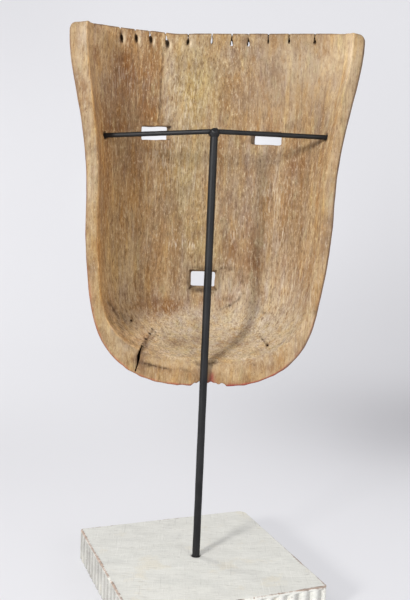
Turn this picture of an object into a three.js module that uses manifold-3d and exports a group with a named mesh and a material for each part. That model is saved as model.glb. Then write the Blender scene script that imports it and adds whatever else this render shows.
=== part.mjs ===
// A carved wooden mask on a welded steel stand with a fluted wooden plinth.
// Millimetres, +Z up. The origin is the centre of the plinth's underside, below the rod.
// The face looks toward -Y, and the hollow back of the mask opens toward +Y.
import * as THREE from 'three';
import { mergeVertices } from 'three/addons/utils/BufferGeometryUtils.js';
import Module from 'manifold-3d';

const wasm = await Module();
wasm.setup();

// Plinth
const plinthSide = 200;
const plinthHeight = 34;
const plinthTurn = THREE.MathUtils.degToRad(20);
const plinthCornerRadius = 3;
const fluteCount = 16;
const fluteWidth = 6;
const fluteDepth = 2.8;
const fluteInset = 6.5;
const fluteTopBand = 3;
const fluteSides = 8;

// Stand
const fitGap = 0.3;
const rodDiameter = 8;
const rodSocketDepth = 14;
const rodSocketClearance = 0.4;
const crossbarDiameter = 5;
const crossbarHeight = 470.8;
const crossbarBendShare = 0.08;
const rodSides = 24;
const weldRadius = 6.4;
const weldTop = 475.5;
const weldBottom = 461;
const weldFullness = 0.5;

// The walls of the mask that the ends of the crossbar reach, on the hollow side
const leftWallPoint = new THREE.Vector3(-113.5, -25, 472);
const rightWallPoint = new THREE.Vector3(111, -34, 464.6);
const crossbarEndInWall = 5;
const wallSocketDiameter = 6.6;
const wallSocketSides = 12;

// Mask outline, at the plane of its rim
const waistHeight = 390;
const waistHalfWidth = 124.6;
const topHeight = 578.5;
const topFlare = 20;
const flarePower = 1.35;
const flareEnd = 565;
const chinCentre = 308;
const chinTaper = 6.7;
const taperPower = 1.7;
const chinDrift = 1.9;
const topCrown = 7;
const topSway = 2;
const swayTurns = 0.85;
const topCornerRadius = 6.5;
const foreheadBend = 430;

// The two skins of the mask: the face outside, and the hollow inside
const faceSkin = {
  sideInset: 0, chinDrop: 94.5, chinPower: 3, depth: 96, topDepth: 79,
  profilePower: 2.7, slopePower: 1.3, cornerRadius: topCornerRadius,
};
const hollowSkin = {
  sideInset: 12, chinDrop: 68.5, chinPower: 2.8, depth: 83, topDepth: 66,
  profilePower: 3, slopePower: 1.1, cornerRadius: 0,
};
const rowHeight = 14;
const chinSpokes = 11;
const spokeSteps = 14;

// Openings through the face
const eyeHeight = 473.2;
const eyeOffset = 63.8;
const eyeSize = { width: 35, height: 15 };
const mouthHeight = 315.5;
const mouthOffset = 2;
const mouthSize = { width: 32, height: 23, frontWidth: 27, frontHeight: 16.5 };
const openingCornerRadius = 1;

// Relief on the face
const frameBorder = 7;
const frameRise = 4;
const frameCornerRadius = 3;
const frameBevel = 1.2;
const noseTop = 497;
const noseTip = 372;
const noseBase = 360;
const noseRise = { top: 5, tip: 19, base: 15 };
const noseHalfWidth = { top: 6, tip: 17, base: 15 };
const noseRidgeShare = 0.36;
const browHeight = 497;
const browArch = 9;
const browReach = 104;
const browRadius = 5.5;
const browSunk = 1.5;

// String holes along the top edge, and their distances from the middle
const stringHoleDiameter = 3.2;
const stringHoleSides = 8;
const stringSlitWidth = 1.2;
const stringHoleDrop = 8.5;
const stringHoles = [-101.5, -77, -55, -35, -17, 4, 29, 51, 68, 83, 98];

// The chip out of the chin edge, and the crack beside it
const chip = { from: -24, to: 12, height: 218, shoulder: 3, leftRun: 9, rightRun: 5, depth: 15 };
const crack = { footX: 71, footZ: 218, headX: 60, headZ: 259, footWidth: 2, depth: 34 };

// How far cutters run on past the surfaces that they open
const pastFace = 1;
const pastRim = 5;
const pastEdge = 10;
const wallReach = 40;

const rimY = -(rodDiameter / 2 + fitGap);
const rodFoot = plinthHeight - rodSocketDepth + fitGap;
const rodTop = crossbarHeight - crossbarDiameter / 2 - fitGap;
const crossbarCentre = new THREE.Vector3(0, 0, crossbarHeight);

// A solid from closed geometry
function solidOf(geometry) {
  const bare = geometry.clone();
  bare.deleteAttribute('normal');
  bare.deleteAttribute('uv');
  const merged = mergeVertices(bare, 1e-4);
  return new wasm.Manifold(new wasm.Mesh({
    numProp: 3,
    vertProperties: merged.attributes.position.array,
    triVerts: merged.index.array,
  }));
}

// And geometry from a solid
function geometryOf(solid) {
  const mesh = solid.getMesh();
  const geometry = new THREE.BufferGeometry();
  geometry.setAttribute('position', new THREE.Float32BufferAttribute(mesh.vertProperties, 3));
  geometry.setIndex(Array.from(mesh.triVerts));
  geometry.computeVertexNormals();
  return geometry;
}

// A closed geometry from quads of points, without the triangles that close up to nothing
function closedGeometry(quads) {
  const positions = [];
  for (const [a, b, c, d] of quads) {
    for (const corner of [a, b, c, a, c, d]) positions.push(corner.x, corner.y, corner.z);
  }
  const soup = new THREE.BufferGeometry();
  soup.setAttribute('position', new THREE.Float32BufferAttribute(positions, 3));
  const merged = mergeVertices(soup, 1e-4);
  const kept = [];
  const index = merged.index.array;
  for (let i = 0; i < index.length; i += 3) {
    const [a, b, c] = [index[i], index[i + 1], index[i + 2]];
    if (a !== b && b !== c && c !== a) kept.push(a, b, c);
  }
  merged.setIndex(kept);
  return merged;
}

// A solid through rings of equal length, with flat ends
function loftGeometry(rings) {
  const quads = [];
  const size = rings[0].length;
  for (let i = 0; i + 1 < rings.length; i += 1) {
    for (let j = 0; j < size; j += 1) {
      const next = (j + 1) % size;
      quads.push([rings[i][j], rings[i][next], rings[i + 1][next], rings[i + 1][j]]);
    }
  }
  const first = rings[0];
  const last = rings[rings.length - 1];
  for (let j = 1; j + 1 < size; j += 1) {
    quads.push([first[0], first[j + 1], first[j], first[0]]);
    quads.push([last[0], last[j], last[j + 1], last[0]]);
  }
  return closedGeometry(quads);
}

function roundedRectangle(width, height, radius) {
  const [x, y] = [width / 2, height / 2];
  const shape = new THREE.Shape();
  shape.absarc(x - radius, -y + radius, radius, -Math.PI / 2, 0);
  shape.absarc(x - radius, y - radius, radius, 0, Math.PI / 2);
  shape.absarc(-x + radius, y - radius, radius, Math.PI / 2, Math.PI);
  shape.absarc(-x + radius, -y + radius, radius, Math.PI, 1.5 * Math.PI);
  return shape;
}

function circleShape(radius) {
  const shape = new THREE.Shape();
  shape.absarc(0, 0, radius, 0, 2 * Math.PI);
  return shape;
}

// A cylinder from one point to another
function bar(from, to, diameter, sides) {
  const length = from.distanceTo(to);
  const geometry = new THREE.CylinderGeometry(diameter / 2, diameter / 2, length, sides);
  const along = new THREE.Vector3().subVectors(to, from).normalize();
  geometry.applyQuaternion(new THREE.Quaternion().setFromUnitVectors(new THREE.Vector3(0, 1, 0), along));
  const middle = new THREE.Vector3().addVectors(from, to).multiplyScalar(0.5);
  return geometry.translate(middle.x, middle.y, middle.z);
}

// Half the width of the mask at a height, at the plane of its rim
function sideHalfWidth(z) {
  if (z < waistHeight) {
    const fall = (waistHeight - z) / (waistHeight - chinCentre);
    return waistHalfWidth - chinTaper * fall ** taperPower;
  }
  const rise = (z - waistHeight) / (flareEnd - waistHeight);
  return waistHalfWidth + topFlare * THREE.MathUtils.smoothstep(rise ** flarePower, 0, 1);
}

// Below the waist the middle of the mask lies a little toward +X
function middle(z) {
  return chinDrift * Math.min(1, Math.max(0, (waistHeight - z) / (waistHeight - chinCentre)));
}

// How far a skin lies before the rim plane, along its middle
function spineDepth(skin, z) {
  const lean = Math.max(0, (z - foreheadBend) / (topHeight - foreheadBend));
  return skin.depth - (skin.depth - skin.topDepth) * lean ** 2;
}

function cornerRounding(skin, z) {
  const over = Math.max(0, z - (topHeight - skin.cornerRadius));
  const radius = skin.cornerRadius;
  return radius - Math.sqrt(Math.max(0, radius ** 2 - over ** 2));
}

// A station is a point of the rim outline, and the point of the spine that its spoke runs to.
// turn is 0 beside the sides, and 90 degrees at the foot of the chin.
function sideStation(skin, z, side) {
  const halfWidth = sideHalfWidth(z) - skin.sideInset - cornerRounding(skin, z);
  return { x: side * halfWidth, z, spineZ: z, turn: 0 };
}

function chinStation(skin, turn, side) {
  const power = 2 / skin.chinPower;
  const z = chinCentre - skin.chinDrop * Math.sin(turn) ** power;
  const halfWidth = (sideHalfWidth(z) - skin.sideInset) * Math.cos(turn) ** power;
  return { x: side * halfWidth, z, spineZ: chinCentre, turn };
}

// All stations, from the top of one side round the chin to the top of the other
function stations(skin, heights) {
  const half = (side) => heights.map((z) => sideStation(skin, z, side));
  const chin = [];
  for (let i = -chinSpokes + 1; i < chinSpokes; i += 1) {
    const turn = (Math.PI / 2) * (1 - Math.abs(i) / chinSpokes);
    chin.push(chinStation(skin, turn, i < 0 ? -1 : 1));
  }
  return [...half(-1), ...chin, ...half(1).reverse()];
}

// The top edge is crowned in the middle, and its +X half lies a little lower
function topLift(x, z) {
  const across = x / (waistHalfWidth + topFlare);
  const nearTop = Math.max(0, (z - foreheadBend) / (topHeight - foreheadBend)) ** 2;
  return -nearTop * (topCrown * across ** 4 + topSway * Math.sin(swayTurns * Math.PI * across));
}

// A point on a skin: share is 0 at the rim, and 1 at the spine
function skinPoint(skin, station, share) {
  const turnShare = Math.sin(station.turn) ** 2;
  const profilePower = 2 + (skin.profilePower - 2) * turnShare;
  const slopePower = 2 + (skin.slopePower - 2) * turnShare;
  const angle = (share * Math.PI) / 2;
  const reach = share === 1 ? 0 : Math.cos(angle) ** (2 / profilePower);
  const depth = spineDepth(skin, station.spineZ) * Math.sin(angle) ** (2 / slopePower);
  const x = reach * station.x;
  const z = station.spineZ + reach * (station.z - station.spineZ);
  return new THREE.Vector3(x + middle(z), rimY - depth, z + topLift(x, z));
}

// A full body under one skin, closed by its rim plane and its top.
// The two numbers carry it past the rim plane and past the top, for a cutter.
function skinSolid(skin, beyondRim, beyondTop) {
  const heights = [];
  for (let z = chinCentre; z < topHeight - topCornerRadius; z += rowHeight) heights.push(z);
  heights.push(topHeight - topCornerRadius, topHeight - topCornerRadius / 3, topHeight);
  if (beyondTop > 0) heights.push(topHeight + beyondTop);
  heights.reverse();
  const rim = stations(skin, heights);
  const grid = rim.map((station) => {
    const row = [];
    for (let j = 0; j <= spokeSteps; j += 1) row.push(skinPoint(skin, station, j / spokeSteps));
    if (beyondRim > 0) row.unshift(row[0].clone().add(new THREE.Vector3(0, beyondRim, 0)));
    return row;
  });
  const quads = [];
  const last = grid.length - 1;
  const steps = grid[0].length - 1;
  for (let i = 0; i < last; i += 1) {
    for (let j = 0; j < steps; j += 1) {
      quads.push([grid[i][j], grid[i + 1][j], grid[i + 1][j + 1], grid[i][j + 1]]);
    }
  }
  for (let i = 0; 2 * i < last; i += 1) {
    const opposite = last - i;
    quads.push([grid[i][0], grid[opposite][0], grid[opposite - 1][0], grid[i + 1][0]]);
  }
  for (let j = 0; j < steps; j += 1) {
    quads.push([grid[0][j], grid[0][j + 1], grid[last][j + 1], grid[last][j]]);
  }
  return solidOf(closedGeometry(quads));
}

// Where the face or the hollow lies, at a place above the chin
function surfacePoint(skin, x, z) {
  const share = Math.abs(x - middle(z)) / (sideHalfWidth(z) - skin.sideInset);
  const depth = spineDepth(skin, z) * Math.sqrt(Math.max(0, 1 - share ** 2));
  return new THREE.Vector3(x, rimY - depth, z);
}

// The turn about the upright that faces a cutter along the surface's normal there
function surfaceTurn(skin, x, z) {
  const step = 1;
  const before = surfacePoint(skin, x - step, z);
  const after = surfacePoint(skin, x + step, z);
  return Math.atan2(after.y - before.y, 2 * step);
}

// A shape drawn as seen from the front, run through the wall at a place on the face.
// The body starts that far inside the wall, and reaches that far out of it.
function onFace(shape, x, z, inside, outside, bevel = 0) {
  const geometry = new THREE.ExtrudeGeometry(shape, {
    depth: inside + outside - bevel,
    bevelEnabled: bevel > 0,
    bevelSize: bevel,
    bevelThickness: bevel,
    bevelOffset: -bevel,
    bevelSegments: 1,
    curveSegments: 3,
  });
  geometry.translate(0, 0, -inside);
  geometry.rotateX(Math.PI / 2);
  geometry.rotateZ(surfaceTurn(faceSkin, x, z));
  const place = surfacePoint(faceSkin, x, z);
  return solidOf(geometry.translate(place.x, place.y, place.z));
}

function eyeFrame(side) {
  const width = eyeSize.width + 2 * frameBorder;
  const height = eyeSize.height + 2 * frameBorder;
  const outline = roundedRectangle(width, height, frameCornerRadius);
  return onFace(outline, side * eyeOffset, eyeHeight, frameBorder, frameRise, frameBevel);
}

function eyeOpening(side) {
  const outline = roundedRectangle(eyeSize.width, eyeSize.height, openingCornerRadius);
  return onFace(outline, side * eyeOffset, eyeHeight, wallReach, wallReach);
}

function mouthFrame() {
  const width = mouthSize.frontWidth + 3 * frameBorder;
  const height = mouthSize.frontHeight + 2 * frameBorder;
  const outline = roundedRectangle(width, height, frameCornerRadius);
  return onFace(outline, mouthOffset, mouthHeight, frameBorder, frameRise, frameBevel);
}

// The mouth narrows toward the front, and then runs on straight past the frame
function mouthOpening() {
  const ring = (width, height, y) => roundedRectangle(width, height, openingCornerRadius)
    .getPoints(3)
    .slice(0, -1)
    .map((point) => new THREE.Vector3(mouthOffset + point.x, y, mouthHeight + point.y));
  const backY = rimY - hollowSkin.depth;
  const frontY = rimY - faceSkin.depth;
  return solidOf(loftGeometry([
    ring(mouthSize.width, mouthSize.height, backY + frameBorder),
    ring(mouthSize.width, mouthSize.height, backY),
    ring(mouthSize.frontWidth, mouthSize.frontHeight, frontY),
    ring(mouthSize.frontWidth, mouthSize.frontHeight, frontY - 2 * frameRise),
  ]));
}

// The nose is a long wedge with a narrow ridge
function nose() {
  const ring = (z, rise, halfWidth) => {
    const sunk = surfacePoint(faceSkin, 0, z).y + frameBorder;
    const front = surfacePoint(faceSkin, 0, z).y - rise;
    const ridge = halfWidth * noseRidgeShare;
    return [
      new THREE.Vector3(halfWidth, sunk, z),
      new THREE.Vector3(ridge, front, z),
      new THREE.Vector3(-ridge, front, z),
      new THREE.Vector3(-halfWidth, sunk, z),
    ];
  };
  const rings = [];
  const steps = 6;
  for (let i = 0; i <= steps; i += 1) {
    const share = i / steps;
    const z = noseTop + (noseTip - noseTop) * share;
    const rise = noseRise.top + (noseRise.tip - noseRise.top) * share;
    const halfWidth = noseHalfWidth.top + (noseHalfWidth.tip - noseHalfWidth.top) * share;
    rings.push(ring(z, rise, halfWidth));
  }
  rings.push(ring(noseBase, noseRise.base, noseHalfWidth.base));
  return solidOf(loftGeometry(rings));
}

// The brow is one ridge in two arches that meet over the nose
function brow() {
  const points = [];
  const steps = 20;
  for (let i = 0; i <= steps; i += 1) {
    const x = browReach * (2 * (i / steps) - 1);
    const arch = Math.sin(Math.PI * Math.min(1, Math.abs(x) / browReach)) * browArch;
    const point = surfacePoint(faceSkin, x, browHeight + arch);
    point.y += browSunk;
    points.push(point);
  }
  const path = new THREE.CatmullRomCurve3(points);
  return solidOf(new THREE.ExtrudeGeometry(circleShape(browRadius), {
    steps: 20, curveSegments: 4, bevelEnabled: false, extrudePath: path,
  }));
}

// A round hole with a slit that runs from it out through the top edge
function stringHole(x) {
  const z = topHeight - stringHoleDrop;
  const radius = stringHoleDiameter / 2;
  const hole = new THREE.CylinderGeometry(radius, radius, wallReach, stringHoleSides);
  const slit = new THREE.BoxGeometry(stringSlitWidth, wallReach, 2 * stringHoleDrop);
  slit.translate(0, 0, stringHoleDrop);
  const place = surfacePoint(hollowSkin, x, z);
  const turn = surfaceTurn(hollowSkin, x, z);
  return solidOf(hole).add(solidOf(slit))
    .rotate([0, 0, THREE.MathUtils.radToDeg(turn)])
    .translate([place.x, place.y, z + topLift(x, topHeight)]);
}

// The blind hole in a side wall that takes one end of the crossbar
function wallSocket(wallPoint) {
  const along = new THREE.Vector3().subVectors(wallPoint, crossbarCentre).normalize();
  const from = wallPoint.clone().addScaledVector(along, -2 * crossbarEndInWall);
  const to = wallPoint.clone().addScaledVector(along, crossbarEndInWall + 2 * fitGap);
  return solidOf(bar(from, to, wallSocketDiameter, wallSocketSides));
}

// An outline in the plane of the rim, cut forward into the wood to a depth
function rimCut(outline, depth) {
  const geometry = new THREE.ExtrudeGeometry(outline, { depth: depth + pastFace, bevelEnabled: false });
  return solidOf(geometry.rotateX(Math.PI / 2).translate(0, rimY + pastFace, 0));
}

// A chip lost from the edge of the chin
function chinChip() {
  const outline = new THREE.Shape();
  const below = chinCentre - faceSkin.chinDrop - pastEdge;
  outline.moveTo(chip.from, below);
  outline.lineTo(chip.to, below);
  outline.lineTo(chip.to, chip.height - chip.shoulder);
  outline.lineTo(chip.to - chip.rightRun, chip.height);
  outline.lineTo(chip.from + chip.leftRun, chip.height);
  outline.lineTo(chip.from, chip.height - chip.shoulder);
  return rimCut(outline, chip.depth);
}

// A crack that runs up from the edge of the chin and closes at its head
function chinCrack() {
  const outline = new THREE.Shape();
  outline.moveTo(crack.footX - crack.footWidth / 2, crack.footZ - pastEdge);
  outline.lineTo(crack.footX + crack.footWidth / 2, crack.footZ - pastEdge);
  outline.lineTo(crack.headX, crack.headZ);
  return rimCut(outline, crack.depth);
}

function maskGeometry() {
  let solid = skinSolid(faceSkin, 0, 0);
  const relief = [eyeFrame(-1), eyeFrame(1), mouthFrame(), nose(), brow()];
  for (const raised of relief) solid = solid.add(raised);
  const hollow = skinSolid(hollowSkin, pastRim, pastEdge);
  const cuts = [hollow, eyeOpening(-1), eyeOpening(1), mouthOpening()];
  cuts.push(...stringHoles.map(stringHole));
  cuts.push(wallSocket(leftWallPoint), wallSocket(rightWallPoint), chinChip(), chinCrack());
  for (const cut of cuts) solid = solid.subtract(cut);
  return geometryOf(solid);
}

function rodGeometry() {
  return bar(new THREE.Vector3(0, 0, rodFoot), new THREE.Vector3(0, 0, rodTop), rodDiameter, rodSides);
}

// The bar is bent in the middle, so that its arms run forward into the hollow
function crossbarPath() {
  const end = (wallPoint) => {
    const along = new THREE.Vector3().subVectors(wallPoint, crossbarCentre).normalize();
    return wallPoint.clone().addScaledVector(along, crossbarEndInWall);
  };
  const bend = (wallPoint) => crossbarCentre.clone().lerp(wallPoint, crossbarBendShare);
  const path = new THREE.CurvePath();
  path.add(new THREE.LineCurve3(end(leftWallPoint), bend(leftWallPoint)));
  path.add(new THREE.QuadraticBezierCurve3(bend(leftWallPoint), crossbarCentre, bend(rightWallPoint)));
  path.add(new THREE.LineCurve3(bend(rightWallPoint), end(rightWallPoint)));
  return path;
}

function crossbarGeometry(diameter) {
  return new THREE.ExtrudeGeometry(circleShape(diameter / 2), {
    steps: 18, curveSegments: 6, bevelEnabled: false, extrudePath: crossbarPath(),
  });
}

// The bead of weld is a full round drop, with ways through it for the rod and the bar
function weldGeometry() {
  const profile = [];
  const steps = 10;
  const middleHeight = (weldTop + weldBottom) / 2;
  for (let i = 0; i <= steps; i += 1) {
    const angle = (Math.PI * i) / steps;
    const radius = i % steps === 0 ? 0 : weldRadius * Math.sin(angle) ** weldFullness;
    const height = middleHeight - ((weldTop - weldBottom) / 2) * Math.cos(angle);
    profile.push(new THREE.Vector2(radius, height));
  }
  const bead = new THREE.LatheGeometry(profile, 16).rotateX(Math.PI / 2);
  const rodWay = bar(
    new THREE.Vector3(0, 0, weldBottom - pastFace), new THREE.Vector3(0, 0, rodTop + fitGap),
    rodDiameter + 2 * fitGap, rodSides,
  );
  const barWay = crossbarGeometry(crossbarDiameter + 2 * fitGap);
  return geometryOf(solidOf(bead).subtract(solidOf(rodWay)).subtract(solidOf(barWay)));
}

// The plinth is a square block with flutes up its sides and a hole for the rod
function plinthGeometry() {
  const outline = roundedRectangle(plinthSide, plinthSide, plinthCornerRadius);
  let solid = solidOf(new THREE.ExtrudeGeometry(outline, {
    depth: plinthHeight, bevelEnabled: false, curveSegments: 4,
  }));
  const fluteHeight = plinthHeight - fluteTopBand;
  const pitch = (plinthSide - 2 * fluteInset) / (fluteCount - 1);
  for (let side = 0; side < 4; side += 1) {
    for (let i = 0; i < fluteCount; i += 1) {
      const flute = new THREE.CylinderGeometry(1, 1, fluteHeight + pastFace, fluteSides);
      flute.scale(fluteWidth / 2, 1, fluteDepth);
      flute.rotateX(Math.PI / 2);
      const along = fluteInset + i * pitch - plinthSide / 2;
      flute.translate(along, -plinthSide / 2, (fluteHeight - pastFace) / 2);
      flute.rotateZ((side * Math.PI) / 2);
      solid = solid.subtract(solidOf(flute));
    }
  }
  const socketDiameter = rodDiameter + 2 * rodSocketClearance;
  const socket = bar(
    new THREE.Vector3(0, 0, plinthHeight - rodSocketDepth), new THREE.Vector3(0, 0, plinthHeight + pastFace),
    socketDiameter, rodSides,
  );
  return geometryOf(solid.subtract(solidOf(socket)));
}

function piece(name, geometry, material) {
  const mesh = new THREE.Mesh(geometry, material);
  mesh.name = name;
  return mesh;
}

const carvedWood = new THREE.MeshStandardMaterial({ color: 0xb08a62, roughness: 0.85, metalness: 0 });
const blackSteel = new THREE.MeshStandardMaterial({ color: 0x1c1c1c, roughness: 0.5, metalness: 0.6 });
const whitePaint = new THREE.MeshStandardMaterial({ color: 0xdcdbd2, roughness: 0.7, metalness: 0 });

const plinth = piece('plinth', plinthGeometry(), whitePaint);
plinth.rotation.z = plinthTurn;

const stand = new THREE.Group();
stand.add(piece('stand_rod', rodGeometry(), blackSteel));
stand.add(piece('stand_crossbar', crossbarGeometry(crossbarDiameter), blackSteel));
stand.add(piece('stand_weld', weldGeometry(), blackSteel));

const model = new THREE.Group();
model.add(piece('mask', maskGeometry(), carvedWood), stand, plinth);

export default model;
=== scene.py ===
import math

import bmesh
import bpy
import numpy as np
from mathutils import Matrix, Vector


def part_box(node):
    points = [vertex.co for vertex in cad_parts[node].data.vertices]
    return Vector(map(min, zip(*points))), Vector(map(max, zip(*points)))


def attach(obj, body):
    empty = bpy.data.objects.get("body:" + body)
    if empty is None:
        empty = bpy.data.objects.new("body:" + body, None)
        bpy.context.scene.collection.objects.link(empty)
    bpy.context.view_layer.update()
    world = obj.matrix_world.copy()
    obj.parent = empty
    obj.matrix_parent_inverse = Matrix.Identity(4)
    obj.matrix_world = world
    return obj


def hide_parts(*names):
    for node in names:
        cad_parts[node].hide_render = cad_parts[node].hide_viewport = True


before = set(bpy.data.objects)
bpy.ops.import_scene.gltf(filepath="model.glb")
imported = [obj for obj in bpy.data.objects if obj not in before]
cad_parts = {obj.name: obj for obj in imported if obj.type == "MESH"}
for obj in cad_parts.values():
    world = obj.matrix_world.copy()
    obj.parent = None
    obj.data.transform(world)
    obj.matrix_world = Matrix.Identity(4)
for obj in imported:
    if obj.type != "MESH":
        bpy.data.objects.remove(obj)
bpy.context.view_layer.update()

import openvdb
from mathutils import Matrix, Vector

MM = 0.001

# Mask outline, at the plane of its rim
WAIST_Z = 390
WAIST_HALF_WIDTH = 124.6
TOP_Z = 578.5
TOP_FLARE = 20
FLARE_POWER = 1.35
FLARE_END_Z = 565
CHIN_Z = 308
CHIN_TAPER = 6.7
TAPER_POWER = 1.7
CHIN_DRIFT = 1.9
TOP_CROWN = 7
TOP_SWAY = 2
SWAY_TURNS = 0.85
FOREHEAD_Z = 430
RIM_Y = -4.3
# A worn dip in the top edge: x, half width, depth
TOP_WORN = (38, 17, 1.3)

# The two skins of the mask. Each lies inset from the outline, is depth deep up to the
# forehead and top_depth at the top edge, and ends drop below CHIN_Z. Its power, profile and
# slope shape its curves
FACE = dict(inset=0, drop=94.5, power=3, depth=96, top_depth=79, profile=2.7, slope=1.3)
HOLLOW = dict(inset=12, drop=68.5, power=2.8, depth=83, top_depth=66, profile=3, slope=1.1)

# The gouge's step down the forehead, and how much fuller the wall is at the upper side and lip
GROOVE_X = 56.4
GROOVE_SWAY = 1.6
GROOVE_DEPTH = 1.1
UPPER_SIDE_RISE = 3.4
LEFT_LIP_RISE = 0.8

# Openings and relief of the face
EYE_Z = 473.2
EYE_X = 63.8
EYE_HALF = (17.5, 7.5)
MOUTH_Z = 315.5
MOUTH_X = 2
MOUTH_HALF_BACK = (16, 11.5)
MOUTH_HALF_FRONT = (13.5, 8.25)
MOUTH_BOX = ((-16, -121, 302), (20, -72, 330))
FRAME_BORDER = 7
FRAME_RISE = 4
NOSE_TOP_Z = 497
NOSE_TIP_Z = 372
NOSE_BASE_Z = 360
NOSE_RISE = (4.5, 14.2)
NOSE_HALF = (6, 9.5)
NOSTRIL_X = 12.5
NOSTRIL_Z = 368
NOSTRIL_RISE = 7
BROW_Z = 497
BROW_ARCH = 9
BROW_REACH = 104
BROW_RADIUS = 5.5
BROW_RISE = 4.2

# String holes under the top edge: x, z, half width, half height, and how far each slants
STRING_HOLES = [
    (97.5, 565, 1.9, 5.0, 1.1), (82.5, 566, 1.9, 5.0, 1.1), (67.5, 565.6, 1.9, 4.8, 1.1),
    (50.5, 564, 2.2, 5.4, 1.1), (29, 567, 1.5, 3.7, 0.9), (4, 570, 1.2, 3.2, 0.25),
    (-17, 569.0, 1.7, 2.4, -0.1), (-34.5, 569.0, 1.6, 2.3, -0.1), (-55, 571, 1.0, 2.8, 0.8),
    (-76, 571, 1.2, 3.0, 0.8), (-101, 568.6, 1.8, 1.9, 0.8),
]

# Damage to the chin and its rim: the boxes of the chip and the crack, and gouges from x, z
# to x, z, how far each end stands out from the rim plane, radius
CHIP_BOX = ((-26, -24, 209), (14, -1, 222))
CRACK_BOX = ((56, -38, 209), (75, -1, 262))
RIM_GOUGES = [
    (44.6, 211, 45.4, 222.5, 0, 0.4, 1.1), (22, 210, 23.4, 218, 0, 0.6, 1.2),
    (88.5, 246, 79, 238.5, 0.4, 0.5, 1.1),
]
# Slips of the chisel from x, z to x, z, radius; then holes and torn wood at x, z, radius
CHISEL_SLIPS = [
    (44.6, 478, 45.6, 488, 1.2), (46.6, 481, 47.2, 486, 1.0), (80, 482.5, 79, 489, 1.1),
    (45, 464, 46, 460, 1.0), (-46, 481.5, -43, 484, 0.8), (-18, 327.5, -22, 327.8, 0.7),
    (-27, 326.6, -31, 326, 0.7),
]
BEETLE_HOLES = [(-66.3, 255.5, 1.3), (-62, 259.5, 0.8), (77.7, 273, 1.4)]
TORN_WOOD = [
    (61.5, 256, 2.0), (58, 260, 1.8), (64, 251, 1.6), (56, 264, 1.3), (52, 261, 1.2),
    (66, 246, 1.4), (49.5, 258, 1.0),
]

# Soft spots in the wood, and painted shadow: x, z, half width, half height, strength
BROWN_PATCHES_AND_ROD_SHADOW = [
    (46, 275, 26, 8, 0.45), (52, 231, 14, 5, 0.45), (30, 229, 14, 4.5, 0.4), (-16, 294, 9, 8, 0.5),
    # Painted shadow: these two and the one at -52, 344 darken the band where the rod's shadow falls
    (-48, 362, 8, 52, 0.65), (-58, 330, 5, 26, 0.4),
    (-98, 332, 12, 26, 0.7), (33, 350, 3, 40, 0.6), (-62, 480, 5, 12, 0.4), (-13, 500, 3, 30, 0.5),
    (95, 532, 13, 25, 1.3), (65, 520, 6.5, 38, 1.2), (101, 474, 13, 9, 0.6), (45, 456, 4, 12, 1),
    (16, 390, 6, 26, 0.5), (-30, 359, 9, 19, 1), (-90, 448, 12, 20, 1), (-85, 405, 12, 30, 0.7),
    (46, 288, 28, 9, 1.1), (-29, 299, 7, 11, 0.8), (-11, 460, 4, 18, 0.8), (-44, 536, 16, 22, 0.35),
    (98, 294, 8, 14, 0.6), (-52, 344, 7, 26, 0.6), (96, 500, 40, 50, 0.35), (-24, 522, 9, 10, 0.6),
    (-118, 530, 8, 12, 0.5), (12, 226, 12, 7, 0.6), (64, 236, 5, 8, 0.7), (-70, 236, 24, 4, 0.5),
    (-12, 504, 14, 5, 0.4), (3, 290, 9, 7, 0.7), (74, 498, 4, 30, 0.5), (38, 391, 4, 40, 0.4),
    (-76, 336, 6, 24, 0.4),
]
PALE_PATCHES = [
    (-84, 532, 52, 34, 0.3), (-70, 262, 30, 16, 0.35),
    (90, 320, 14, 45, 0.8), (-20, 560, 40, 6, 0.5), (-52, 452, 12, 10, 0.6), (62, 262, 16, 8, 0.8),
    (48, 525, 6, 42, 1.5), (26, 531, 20, 46, 0.7), (-36, 265, 50, 32, 1.3), (35, 262, 40, 28, 1.2),
    (-4, 547, 12, 18, 0.6), (6, 418, 5, 60, 0.7), (-80, 552, 20, 16, 0.6), (-91, 308, 26, 36, 0.9),
    (-22, 300, 28, 24, 0.8), (23, 432, 10, 40, 0.5), (-124, 546, 18, 30, 1.1),
    (122, 550, 16, 34, 1), (124, 440, 9, 90, 0.7), (-71, 305, 10, 40, 0.5), (82, 270, 18, 24, 0.6),
    (102, 514, 6, 40, 0.3),
]
SCRAPES = [
    (27, 354, 17, 4, 1), (-22, 335, 13, 2.2, 0.8), (38, 274, 26, 14, 0.5), (30, 506, 24, 30, 0.5),
    (-30, 370, 5, 9, 0.8), (-80, 372, 5, 12, 0.7), (-67, 406, 24, 30, 0.45), (56, 254, 10, 8, 0.8),
    (-50, 266, 34, 22, 0.55), (92, 525, 28, 18, 0.35), (-94, 309, 18, 30, 0.5),
    (46, 441, 26, 40, 0.35), (45, 228, 4, 6, 0.8), (-42, 312, 22, 12, 0.4),
]
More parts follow.
